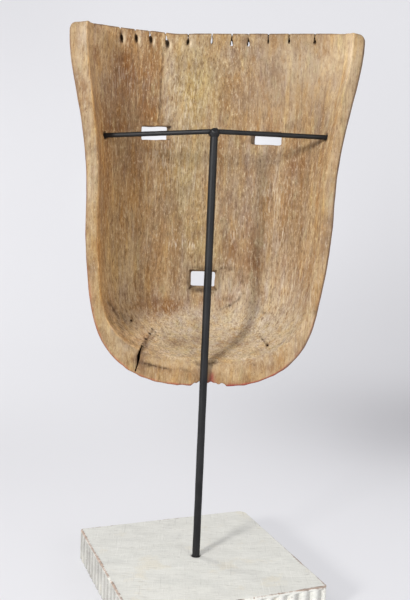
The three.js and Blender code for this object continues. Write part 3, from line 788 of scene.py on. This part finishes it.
class Shader:
    """A Principled material and short ways to add nodes to it."""

    def __init__(self, name, **settings):
        self.material = bpy.data.materials.new(name)
        self.material.use_nodes = True
        self.tree = self.material.node_tree
        self.tree.nodes.clear()
        self.surface = self.node("BsdfPrincipled", {})
        self.node("OutputMaterial", {"Surface": self.surface.outputs[0]})
        for socket, value in settings.items():
            self.put(value, self.surface.inputs[socket.replace("_", " ")])
        self.place = self.node("TexCoord", {}).outputs["Object"]

    def node(self, kind, inputs, **settings):
        """A new node with its settings and inputs: each input is a socket or a value."""
        node = self.tree.nodes.new("ShaderNode" + kind)
        for name, value in settings.items():
            setattr(node, name, value)
        for socket, value in inputs.items():
            self.put(value, node.inputs[socket])
        return node

    def put(self, value, socket):
        if isinstance(value, bpy.types.NodeSocket):
            self.tree.links.new(value, socket)
        else:
            socket.default_value = value

    def noise(self, scale, detail, rough, turn=0.0, shift=(0, 0, 0)):
        """Noise with a scale of its own along each axis, turned about Z."""
        place = self.node("Mapping", {"Vector": self.place, "Scale": scale,
                                      "Rotation": (0, 0, turn), "Location": shift})
        inputs = {"Vector": place.outputs[0], "Scale": 1.0, "Detail": detail, "Roughness": rough}
        return self.node("TexNoise", inputs).outputs["Fac"]

    def grain(self, across, along, detail, rough, shift=(0, 0, 0)):
        """Noise drawn out along Z, like the grain of upright wood."""
        return self.noise((across, across, along), detail, rough, 0.0, shift)

    def spread(self, value, low, high, to_low=0.0, to_high=1.0):
        inputs = {"Value": value, "From Min": low, "From Max": high,
                  "To Min": to_low, "To Max": to_high}
        return self.node("MapRange", inputs, interpolation_type="SMOOTHSTEP").outputs["Result"]

    def math(self, operation, first, second):
        return self.node("Math", {0: first, 1: second}, operation=operation).outputs[0]

    def times(self, first, *factors):
        for factor in factors:
            first = self.math("MULTIPLY", first, factor)
        return first

    def without(self, share):
        return self.math("SUBTRACT", 1.0, share)

    def mix(self, share, first, second, blend="MIX"):
        inputs = {0: share, 6: first, 7: second}
        return self.node("Mix", inputs, data_type="RGBA", blend_type=blend,
                         clamp_factor=True).outputs[2]

    def share(self, value, low=None, high=None, strength=1.0):
        return value if low is None else self.spread(value, low, high, 0, strength)

    def layers(self, colour, *rows):
        """Colours laid over one another. A row is a share and its colour, or a value, the
        two ends that it is spread between, a strength and the colour."""
        for *share, tone in rows:
            colour = self.mix(self.share(*share), colour, srgb(*tone))
        return colour

    def shades(self, colour, *rows):
        """Factors on the colour, in rows like those of layers."""
        for *share, factors in rows:
            if isinstance(factors, tuple):
                factors = (*factors, 1)
            colour = self.mix(self.share(*share), colour, factors, "MULTIPLY")
        return colour

    def attribute(self, name):
        return self.node("Attribute", {}, attribute_name=name).outputs["Fac"]

    def along(self, axis):
        return self.node("SeparateXYZ", {0: self.place}).outputs["XYZ".index(axis)]

    def bumps(self, *rows):
        """Bumps one over another: height, strength and distance of each."""
        under = None
        for height, strength, distance in rows:
            inputs = {"Height": height, "Strength": strength, "Distance": distance}
            if under:
                inputs["Normal"] = under
            under = self.node("Bump", inputs).outputs[0]
        return under

    def finish(self, colour, roughness, normal):
        for name, value in (("Base Color", colour), ("Roughness", roughness), ("Normal", normal)):
            self.put(value, self.surface.inputs[name])
        return self.material


def wood_material():
    s = Shader("mask_wood", Specular_IOR_Level=0.2)
    pore = s.grain(1500, 210, 2, 0.6)
    fine = s.grain(760, 135, 4, 0.7)
    speck = s.grain(560, 300, 2, 0.7)
    fleck = s.grain(420, 210, 4, 0.7)
    grain = s.grain(300, 34, 5, 0.68)
    lines = s.grain(270, 13, 4, 0.6)
    rubbed = s.grain(170, 60, 4, 0.7)
    streak = s.grain(95, 7, 4, 0.6)
    tint = s.grain(85, 40, 4, 0.65)
    worn = s.grain(60, 26, 7, 0.74)
    cloud = s.grain(34, 28, 5, 0.68)
    patch = s.grain(24, 8, 3, 0.6)
    scratch = s.grain(620, 90, 2, 0.5, (3, 1, 2))
    hue = s.grain(130, 22, 3, 0.6, (5, 3, 1))
    rim, outside, edge = (s.attribute(name) for name in ("rim", "outside", "edge"))
    x, z = s.along("X"), s.along("Z")

    # Bare wood: broad bands, then the named patches, then grain and flecks
    wood = s.mix(s.spread(patch, 0.38, 0.62), srgb(152, 127, 96), srgb(162, 130, 91))
    wood = s.layers(wood, (streak, 0.46, 0.7, 0.85, (188, 165, 130)),
                    (streak, 0.42, 0.26, 0.8, (130, 94, 60)))
    rim_wood = s.mix(s.spread(cloud, 0.36, 0.64), srgb(178, 150, 112), srgb(156, 127, 88))
    rim_wood = s.layers(rim_wood, (streak, 0.5, 0.72, 0.4, (190, 170, 138)))
    wood = s.mix(s.times(rim, 0.85), wood, rim_wood)
    ragged = s.math("ADD", s.spread(streak, 0.3, 0.7, 0.1, 0.75),
                    s.spread(tint, 0.3, 0.7, 0.1, 0.75))
    pale = s.times(s.attribute("pale"), s.spread(cloud, 0.3, 0.7, 1.3, 0.5), 0.75)
    grey = s.times(s.attribute("grey"), s.spread(cloud, 0.3, 0.7, 0.5, 1.1), 0.5)
    # The brown patches include painted shadow along the rod's shadow in the hollow
    wood = s.layers(
        wood, (pale, (200, 182, 154)), (s.times(s.attribute("brown"), ragged, 0.85), (130, 90, 53)),
        (grey, (160, 144, 128)), (s.times(s.attribute("olive"), 0.62), (178, 160, 106)),
        (tint, 0.52, 0.7, 0.5, (152, 112, 66)), (tint, 0.46, 0.3, 0.5, (172, 158, 122)),
        (cloud, 0.5, 0.7, 0.5, (126, 103, 84)), (cloud, 0.46, 0.28, 0.45, (192, 160, 116)),
        (lines, 0.56, 0.68, 0.3, (112, 80, 50)))
    upper_right = s.times(s.spread(z, 0.45, 0.52), s.spread(x, -0.02, -0.06))
    strong = s.without(s.times(s.math("MAXIMUM", rim, upper_right), 0.4))
    for noise, low, high, share, tone in (
            (fleck, 0.53, 0.66, 0.55, (108, 78, 54)), (fleck, 0.46, 0.32, 0.5, (220, 204, 174)),
            (grain, 0.52, 0.72, 0.6, (108, 78, 54)), (grain, 0.46, 0.3, 0.5, (204, 186, 156)),
            (fine, 0.55, 0.7, 0.7, (84, 58, 40)), (fine, 0.44, 0.3, 0.48, (220, 204, 172))):
        wood = s.layers(wood, (s.times(s.spread(noise, low, high, 0, share), strong), tone))
    wood = s.layers(wood, (pore, 0.58, 0.72, 0.4, (72, 48, 34)))

    # Broad shades: the whole, hue, the left side, painted light on the lip, and parts of the rim
    # and hollow
    left_side = s.spread(x, 0.02, 0.09)
    middle_part = s.times(s.spread(x, -0.06, -0.02), s.spread(x, 0.085, 0.06),
                          s.spread(z, 0.52, 0.46), s.spread(z, 0.27, 0.33))
    corner_rim = s.times(rim, s.spread(z, 0.48, 0.53), s.spread(x, -0.1, -0.13))
    low_tone = s.mix(left_side, (1.0, 0.94, 0.84, 1), (0.92, 0.87, 0.78, 1))
    lower = s.spread(z, 0.36, 0.28)
    colour = s.shades(
        wood, (1.0, (0.885, 0.875, 0.865)), (hue, 0.5, 0.68, 1, (1.05, 0.99, 0.84)),
        (hue, 0.5, 0.32, 1, (0.97, 0.995, 1.13)),
        (s.times(left_side, s.without(rim)), (1.09, 1.01, 0.9)), (middle_part, (0.93, 0.93, 0.92)),
        (s.attribute("lip"), s.mix(left_side, (1.4, 1.38, 1.28, 1), (1.34, 1.24, 1.1, 1))),
        (s.times(rim, lower), low_tone), (z, 0.31, 0.27, 1, (0.985, 1.01, 1.055)),
        (corner_rim, (0.84, 0.82, 0.8)))
    scraped = s.times(s.attribute("scrape"), s.spread(scratch, 0.54, 0.62), 0.5)
    blush = s.times(s.attribute("blush"), s.spread(tint, 0.4, 0.6, 0.1, 0.6), lower)
    colour = s.layers(
        colour, (s.times(s.attribute("torn"), 0.85), (226, 208, 176)), (scraped, (236, 224, 204)),
        (speck, 0.66, 0.76, 0.6, (78, 54, 38)), (blush, (178, 108, 80)))

    # Worn red ochre on the face, and the line of it that shows along the edge
    ochre = s.layers(
        s.mix(s.spread(z, 0.3, 0.5), srgb(124, 56, 48), srgb(102, 60, 46)),
        (cloud, 0.35, 0.65, 0.6, (92, 48, 40)), (grain, 0.5, 0.7, 0.45, (70, 38, 32)),
        (rubbed, 0.5, 0.3, 0.4, (150, 88, 66)))
    worn = s.spread(s.math("ADD", worn, s.attribute("rubbed")), 0.58, 0.65)
    painted = s.times(outside, s.without(s.times(worn, 0.4)), s.spread(edge, 0.22, 0.8, 1, 0.35))
    colour = s.mix(painted, colour, ochre)
    line = s.layers(
        s.mix(s.spread(x, 0.0, 0.05), srgb(140, 52, 58), srgb(142, 78, 66)),
        (x, -0.07, -0.09, 1, (88, 70, 62)), (z, 0.26, 0.34, 1, (78, 60, 50)))
    line_here = s.times(s.attribute("near_face"), s.spread(cloud, 0.3, 0.62, 1, 0.6),
                        s.without(outside), s.spread(x, -0.01, 0.06, 1, 0.4), 0.95)
    colour = s.mix(line_here, colour, line)

    # Dark top edge, red traces, stains and painted shade, and painted shade in cuts and creases
    top_line = s.times(s.attribute("top_line"), s.spread(tint, 0.35, 0.6, 0.3, 1), 0.7)
    stain = s.times(s.attribute("stain"), s.spread(fine, 0.3, 0.62, 0.45, 1), 0.9)
    colour = s.layers(
        colour, (top_line, (86, 64, 50)), (s.times(s.attribute("red"), 0.8), (138, 56, 55)),
        # Painted shade: darker in concave creases and the bottoms of cuts
        (stain, (52, 33, 23)), (edge, -0.14, -0.6, 0.6, (48, 31, 23)))
    relief = s.bumps((pore, 0.4, 0.0004), (fine, 0.6, 0.0009), (grain, 0.55, 0.0016),
                     (speck, 0.35, 0.0005))
    return s.finish(colour, s.spread(cloud, 0.3, 0.7, 0.74, 0.92), relief)


def steel_material():
    s = Shader("black_steel", Metallic=0.2, Specular_IOR_Level=0.35)
    cloud = s.grain(60, 24, 4, 0.6)
    grit = s.grain(900, 700, 3, 0.6)
    colour = s.mix(s.spread(cloud, 0.35, 0.7), srgb(19, 20, 22), srgb(34, 34, 35))
    colour = s.layers(colour, (grit, 0.66, 0.78, 0.4, (70, 66, 62)))
    relief = s.bumps((grit, 0.3, 0.0003), (cloud, 0.3, 0.0008))
    return s.finish(colour, s.spread(cloud, 0.3, 0.7, 0.4, 0.6), relief)


def paint_material():
    s = Shader("white_paint", Specular_IOR_Level=0.3)
    turn = -PLINTH_TURN
    brush = s.noise((70, 620, 620), 4, 0.7, turn)
    cross = s.noise((620, 70, 620), 4, 0.7, turn)
    wide = s.noise((18, 60, 60), 5, 0.7, turn)
    spot = s.noise((120, 260, 260), 3, 0.7, turn)
    hair = s.noise((26, 820, 820), 3, 0.6, turn)
    hair_across = s.noise((820, 26, 820), 3, 0.6, turn, (2, 1, 0))
    cloud = s.noise((26, 26, 26), 5, 0.65)

    colour = s.mix(s.spread(wide, 0.4, 0.6), srgb(215, 215, 208), srgb(208, 208, 201))
    colour = s.layers(colour, (cloud, 0.5, 0.7, 0.35, (196, 197, 192)),
                      (cloud, 0.46, 0.34, 0.55, (214, 208, 190)))
    colour = s.shades(colour, (s.along("X"), 0.0, 0.12, 1, (0.95, 0.95, 0.955)))
    colour = s.layers(
        colour, (brush, 0.54, 0.7, 0.6, (170, 168, 160)), (brush, 0.44, 0.28, 0.6, (236, 235, 230)),
        (cross, 0.58, 0.74, 0.4, (172, 172, 168)), (spot, 0.66, 0.76, 0.6, (150, 146, 138)))
    rubbed = s.math("ADD", s.attribute("wear"), s.spread(cloud, 0.3, 0.7, -0.3, 0.3))
    rubbed = s.math("ADD", rubbed, s.spread(spot, 0.3, 0.7, -0.18, 0.18))
    bare = s.mix(s.spread(spot, 0.35, 0.65), srgb(166, 138, 120), srgb(122, 104, 92))
    colour = s.mix(s.spread(rubbed, 0.45, 0.75, 0, 0.85), colour, bare)
    # Grime, with painted shade in the flutes, on the left side and in the rod's hole
    grime = s.times(s.attribute("grime"), s.spread(cloud, 0.3, 0.7, 0.6, 1.2))
    colour = s.layers(colour, (grime, 0.1, 1, 0.8, (142, 140, 136)))
    for mark in (hair, hair_across):
        colour = s.layers(colour, (mark, 0.63, 0.71, 0.35, (158, 156, 150)),
                          (mark, 0.38, 0.31, 0.35, (236, 235, 230)))
    relief = s.bumps((brush, 0.45, 0.0005), (cross, 0.35, 0.0005), (wide, 0.3, 0.001))
    return s.finish(colour, s.spread(cloud, 0.3, 0.7, 0.6, 0.8), relief)


# Stand

def ring_faces(rings, sides):
    """Faces between rings of points, closed at both ends."""
    faces = []
    for i in range(rings - 1):
        for j in range(sides):
            a, b = i * sides + j, i * sides + (j + 1) % sides
            faces.append([a, b, b + sides, a + sides])
    faces.append(list(range(sides))[::-1])
    faces.append(list(range((rings - 1) * sides, rings * sides)))
    return faces


def swept_piece(name, path, radius_at, sides, material):
    """A round bar along a path, closed at both ends."""
    path = np.asarray(path, float)
    points = []
    for i, centre in enumerate(path):
        along = path[min(i + 1, len(path) - 1)] - path[max(i - 1, 0)]
        along /= np.linalg.norm(along)
        side = np.cross(along, (0, 1, 0.2))
        side /= np.linalg.norm(side)
        other = np.cross(side, along)
        for j in range(sides):
            angle = 2 * math.pi * j / sides
            radius = radius_at(i / (len(path) - 1), angle)
            points.append(centre + radius * (math.cos(angle) * side + math.sin(angle) * other))
    mesh = new_mesh(name, points, ring_faces(len(path), sides))
    outward(mesh)
    mesh.shade_smooth()
    return new_object(name, mesh, material)


def make_rod(material):
    low, high = in_mm(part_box("stand_rod"))
    radius = (high[0] - low[0]) / 2 - GAP
    path = [(0, 0, z) for z in np.linspace(low[2] + GAP, high[2] - GAP, ROD_RINGS)]

    def radius_at(share, angle):
        dent = 0.05 * math.sin(31 * share + 2 * angle) + 0.04 * math.sin(83 * share - 3 * angle)
        return (radius + dent) * min(1, 40 * share + 0.85, 40 * (1 - share) + 0.85)

    return swept_piece("rod", path, radius_at, ROD_SIDES, material)


def make_crossbar(material):
    centre = np.array([0, 0, BAR_HEIGHT])

    def arm(point):
        point = np.array(point, float)
        along = (point - centre) / np.linalg.norm(point - centre)
        return point + BAR_IN_SOCKET * along, centre + BAR_BEND * (point - centre)

    left_end, left_bend = arm(BAR_LEFT)
    right_end, right_bend = arm(BAR_RIGHT)
    path = [left_end + (left_bend - left_end) * t for t in np.linspace(0, 1, ARM_RINGS)[:-1]]
    for t in np.linspace(0, 1, BEND_RINGS):
        path.append((1 - t) ** 2 * left_bend + 2 * t * (1 - t) * centre + t * t * right_bend)
    path += [right_bend + (right_end - right_bend) * t for t in np.linspace(0, 1, ARM_RINGS)[1:]]

    def radius_at(share, angle):
        dent = 0.04 * math.sin(47 * share + 2 * angle) + 0.03 * math.sin(121 * share - angle)
        return BAR_RADIUS + dent

    return swept_piece("crossbar", path, radius_at, BAR_SIDES, material)


def make_weld(material):
    """A lumpy bead of weld over the crossing, drawn out down the rod."""
    low, high = in_mm(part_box("stand_weld"))
    half, centre = (high - low) / 2, (high + low) / 2
    random = np.random.default_rng(21)
    lumps = random.normal(size=(WELD_LUMPS, 3))
    lumps /= np.linalg.norm(lumps, axis=1)[:, None]
    sizes = random.uniform(0.04, 0.13, WELD_LUMPS)
    work = bmesh.new()
    bmesh.ops.create_icosphere(work, subdivisions=5, radius=1)
    for vert in work.verts:
        way = np.array(vert.co)
        swell = np.sum(sizes * np.exp((lumps @ way - 1) * 14)) - 0.1
        slim = 1 - 0.22 * smoothstep(-way[2])
        shape = way * (0.86 + swell) * np.array([slim, slim, 1])
        vert.co = (centre + np.clip(shape, -0.985, 0.985) * half) * MM
    mesh = bpy.data.meshes.new("weld")
    work.to_mesh(mesh)
    work.free()
    mesh.shade_smooth()
    return new_object("weld", mesh, material)


# Plinth

PLINTH_HALF = 100
PLINTH_HEIGHT = 34
PLINTH_TURN = math.radians(20)
FLUTES = 16
FLUTE_INSET = 6.5
FLUTE_HALF_WIDTH = 3
FLUTE_DEPTH = 2.8
FLUTE_END_Z = 31
FLUTE_STEPS = 10
CORNER_STEPS = 6
# One corner is worn round
CORNER_RADII = (3, 3, 3, 10)
# Heights of the rings up the sides, their reach over the top, and the rings of the rod's hole:
# radius, height and how dark, the dark being painted shade in the hole
SIDE_LEVELS = (0, 0.7, 6, 12, 18, 24, 27, 28.4, 29.4, 30.1, 30.6, 30.9, 31.0, 31.6, 32.3)
TOP_REACHES = (0.975, 0.955, 0.92, 0.86, 0.78, 0.68, 0.56, 0.44, 0.32, 0.2, 0.11)
HOLE_RINGS = ((7, 33.85, 0.1), (5, 33.8, 0.5), (4.5, 33.4, 1), (4.4, 30, 1), (4.4, 20.2, 1))


def plinth_outline():
    """Points round the square: place, way out, and how deep in a flute each lies."""
    pitch = (2 * PLINTH_HALF - 2 * FLUTE_INSET) / (FLUTES - 1)
    flutes = [FLUTE_INSET + i * pitch - PLINTH_HALF for i in range(FLUTES)]
    stations = []
    for centre in flutes:
        for i in range(FLUTE_STEPS + 1):
            off = -math.cos(math.pi * i / FLUTE_STEPS)
            stations.append((centre + FLUTE_HALF_WIDTH * off, math.sqrt(max(0, 1 - off * off))))
        stations.append((centre + pitch / 2, 0.0))
    stations.pop()
    outline = []
    for side in range(4):
        turn = side * math.pi / 2
        out = np.array([math.sin(turn), -math.cos(turn)])
        along = np.array([math.cos(turn), math.sin(turn)])
        radius, before = CORNER_RADII[side], CORNER_RADII[side - 1]
        for place, depth in stations:
            if before - PLINTH_HALF < place < PLINTH_HALF - radius:
                outline.append((out * PLINTH_HALF + along * place, out, depth))
        centre = (out + along) * (PLINTH_HALF - radius)
        for i in range(CORNER_STEPS + 1):
            angle = math.pi / 2 * i / CORNER_STEPS
            way = out * math.cos(angle) + along * math.sin(angle)
            outline.append((centre + way * radius, way, 0.0))
    return outline


def make_plinth(material):
    outline = plinth_outline()
    count = len(outline)
    places, ways, depths = (np.array(column) for column in zip(*outline))
    perimeter = np.linspace(0, 1, count, endpoint=False)

    def ripple(cycles, seed):
        phases = np.random.default_rng(seed).uniform(0, 2 * math.pi, len(cycles))
        waves = (np.sin(2 * math.pi * c * perimeter + p) for c, p in zip(cycles, phases))
        return sum(waves) / len(cycles)

    rings, wear, grime = [], [], []

    def add_ring(ring, z, worn, grime_and_shade_here=0.0):
        rings.append(np.column_stack([ring, np.broadcast_to(z, count)]))
        wear.append(np.broadcast_to(worn, count))
        grime.append(np.broadcast_to(grime_and_shade_here, count))

    dents = np.clip(ripple((37, 61, 89, 143), 32) * 1.6 - 0.6, 0, 0.9)
    toward_left = smoothstep(ways[:, 0] * 2 - 1)
    toward_right = smoothstep((places[:, 1] - places[:, 0] - 60) / 120)
    soft = 0.7 + 0.3 * ripple((11, 23, 47, 71), 33) + dents + 1.1 * toward_left
    add_ring(places * 0.6, 0.0, 0.3)
    for z in SIDE_LEVELS:
        cap = 1 - np.clip((z - 28) / (FLUTE_END_Z - 28), 0, 1) ** 2
        groove = FLUTE_DEPTH * depths * math.sqrt(max(cap, 0))
        inset = groove + (0.6 if z == 0 else 0) + 0.12 * ripple((5, 9, 17), 34)
        inset = inset + 0.12 * (1 + ripple((29, 53), int(z * 10)))
        near_edge = max(0, 1 - z / 3) + max(0, (z - 30) / 4)
        # A little grime all round, with painted shade deeper in the flutes and on the left side
        dirt_and_shade = depths * (0.32 if z < FLUTE_END_Z else 0) + 0.14 + 0.5 * toward_left
        ring = places - ways * np.maximum(inset, 0.05)[:, None]
        add_ring(ring, float(z), 0.18 + 0.3 * near_edge, dirt_and_shade)
    for i in range(1, CORNER_STEPS + 1):
        angle = math.pi / 2 * i / CORNER_STEPS
        inset = soft * (1 - math.cos(angle)) + 0.12
        z = PLINTH_HEIGHT - soft * (1 - math.sin(angle)) - 0.06
        worn = 0.42 + 0.14 * toward_left + 0.2 * toward_right + 0.2 * math.sin(2 * angle)
        add_ring(places - ways * inset[:, None], z, worn + 0.25 * dents)
    for reach in TOP_REACHES:
        ring = places * reach
        bow = 0.1 * np.sin(ring[:, 0] / 23 + 1) * np.sin(ring[:, 1] / 31)
        add_ring(ring, PLINTH_HEIGHT - 0.16 + bow * (reach < 0.95), 0.2 if reach > 0.96 else 0.05)
    angles = np.arctan2(places[:, 1], places[:, 0])
    circle = np.column_stack([np.cos(angles), np.sin(angles)])
    for radius, z, dark in HOLE_RINGS:
        add_ring(circle * radius, z, 0.2, dark)

    points = np.concatenate(rings)
    cosine, sine = math.cos(PLINTH_TURN), math.sin(PLINTH_TURN)
    points[:, :2] = points[:, :2] @ np.array([[cosine, sine], [-sine, cosine]])
    mesh = new_mesh("plinth_block", points, ring_faces(len(rings), count))
    outward(mesh)
    mesh.shade_smooth()
    set_attribute(mesh, "wear", np.concatenate(wear))
    set_attribute(mesh, "grime", np.concatenate(grime))
    return new_object("plinth_block", mesh, material)


# Floor, light and camera

SWEEP_CENTRE = (0, 1500)
SWEEP_FLOOR = 2700
SWEEP_CURVE = 1100
SWEEP_TOP = 3600
SWEEP_SIDES = 192
SWEEP_FLOOR_RINGS = 40
SWEEP_CURVE_RINGS = 32
# Soft painted light and shadow on the sweep: x, y, z, radius, change of tone
SWEEP_LIGHT_AND_SHADOW = [
    # The light place behind the mask is light seen through its openings; the two dark ones at
    # negative x its shadow
    (-60, -2200, 330, 330, 1.0), (-440, -620, 0, 400, -0.42), (-950, -1300, 100, 900, -0.42),
    (480, -350, 0, 420, -0.22), (720, -2200, 1150, 480, -0.24),
]
# Lamps, in metres: name, way to it, distance, size, watts, colour
LIGHT_TARGET = (0, -0.04, 0.36)
LIGHTS = [
    ("key", (0.573, 0.775, 0.267), 2.6, 0.46, 62, (1.0, 0.985, 0.96)),
    ("fill", (-0.6, 0.75, 0.3), 2.6, 1.8, 21, (0.99, 0.99, 1.0)),
    ("overhead", (0.1, 0.1, 1.0), 2.2, 2.0, 4, (1.0, 1.0, 1.0)),
    ("face_side", (1.1, -0.8, 0.75), 2.4, 0.8, 20, (1.0, 0.99, 0.97)),
]
SKY_COLOUR = (0.95, 0.965, 1.0, 1)
SKY_STRENGTH = 0.3
# Camera: tilt from straight down, heading and roll in degrees, lens and sensor in
# millimetres, place in metres
CAMERA_TURNS = (83, 178, 2.47)
CAMERA_LENS = 48
CAMERA_SENSOR = 36
CAMERA_PLACE = (0.0299, 0.7989, 0.402)


def make_stage():
    """A pale round sweep: floor, a wide curve, and walls, lit a little from within."""
    s = Shader("sweep", Specular_IOR_Level=0.1, Emission_Strength=1.0)
    tone, shade = s.attribute("tone"), s.attribute("shade")
    dark = s.spread(tone, 0, -1)
    colour = s.mix(s.spread(tone, 0, 1), srgb(156, 156, 158), srgb(240, 240, 242))
    colour = s.layers(colour, (dark, (112, 111, 113)), (shade, (110, 110, 112)))
    glow = s.layers(srgb(176, 176, 179), (dark, (132, 131, 134)), (shade, (154, 154, 157)),
                    (s.attribute("shine"), (200, 200, 204)))
    s.put(glow, s.surface.inputs["Emission Color"])
    material = s.finish(colour, 0.9, s.bumps((s.noise((1, 1, 1), 1, 0.5), 0.02, 0.001)))

    rings = SWEEP_FLOOR_RINGS
    profile = [(SWEEP_FLOOR * i / rings, 0.0) for i in range(1, rings + 1)]
    for i in range(1, SWEEP_CURVE_RINGS + 1):
        angle = math.pi / 2 * i / SWEEP_CURVE_RINGS
        radius = SWEEP_FLOOR + SWEEP_CURVE * math.sin(angle)
        profile.append((radius, SWEEP_CURVE * (1 - math.cos(angle))))
    profile.append((SWEEP_FLOOR + SWEEP_CURVE, SWEEP_TOP))
    around = SWEEP_SIDES
    points = [(*SWEEP_CENTRE, 0.0)]
    for radius, z in profile:
        for j in range(around):
            angle = 2 * math.pi * j / around
            points.append((SWEEP_CENTRE[0] + radius * math.cos(angle),
                           SWEEP_CENTRE[1] + radius * math.sin(angle), z))
    faces = [[0, 1 + j, 1 + (j + 1) % around] for j in range(around)]
    for i in range(len(profile) - 1):
        first, second = 1 + i * around, 1 + (i + 1) * around
        for j in range(around):
            k = (j + 1) % around
            faces.append([first + j, second + j, second + k, first + k])
    mesh = new_mesh("sweep", points, faces)
    mesh.shade_smooth()
    points = np.array(points)
    tone = np.zeros(len(points))
    for x, y, z, radius, change in SWEEP_LIGHT_AND_SHADOW:
        far = np.linalg.norm(points - (x, y, z), axis=1) / radius
        tone += change * np.exp(-far ** 2)
    behind, height = points[:, 1], points[:, 2]
    set_attribute(mesh, "tone", tone)
    set_attribute(mesh, "shade", smoothstep((behind - 950) / 500) * smoothstep(1 - height / 900))
    set_attribute(mesh, "shine", smoothstep((behind - 1800) / 1500) * smoothstep(height / 500))
    backdrop = new_object("sweep", mesh, material)


def make_lights():
    for name, way, distance, size, energy, colour in LIGHTS:
        data = bpy.data.lights.new(name, "AREA")
        data.shape = "DISK"
        data.size = size
        data.energy = energy
        data.color = colour
        lamp = bpy.data.objects.new(name, data)
        bpy.context.scene.collection.objects.link(lamp)
        way = Vector(way).normalized()
        lamp.location = Vector(LIGHT_TARGET) + way * distance
        lamp.rotation_euler = way.to_track_quat("Z", "Y").to_euler()
    world = bpy.data.worlds.new("studio")
    world.use_nodes = True
    background = world.node_tree.nodes["Background"]
    background.inputs["Color"].default_value = SKY_COLOUR
    background.inputs["Strength"].default_value = SKY_STRENGTH
    bpy.context.scene.world = world


def make_camera():
    """The camera of the photograph: behind the mask, as high as its nose, tilted down a little."""
    data = bpy.data.cameras.new("camera")
    data.lens = CAMERA_LENS
    data.sensor_width = CAMERA_SENSOR
    camera = bpy.data.objects.new("camera", data)
    bpy.context.scene.collection.objects.link(camera)
    tilt, heading, roll = (math.radians(angle) for angle in CAMERA_TURNS)
    turn = Matrix.Rotation(heading, 4, "Z") @ Matrix.Rotation(tilt, 4, "X")
    turn = turn @ Matrix.Rotation(roll, 4, "Z")
    camera.matrix_world = Matrix.Translation(CAMERA_PLACE) @ turn
    bpy.context.scene.camera = camera


def place(piece, node, slot):
    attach(piece, "root")
    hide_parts(node)


steel = steel_material()
place(make_mask(wood_material()), "mask", "mask_wood")
place(make_rod(steel), "stand_rod", "black_steel")
place(make_crossbar(steel), "stand_crossbar", "black_steel")
place(make_weld(steel), "stand_weld", "black_steel")
place(make_plinth(paint_material()), "plinth", "white_paint")
make_stage()
make_lights()
make_camera()
bpy.context.scene.view_settings.view_transform = "Standard"
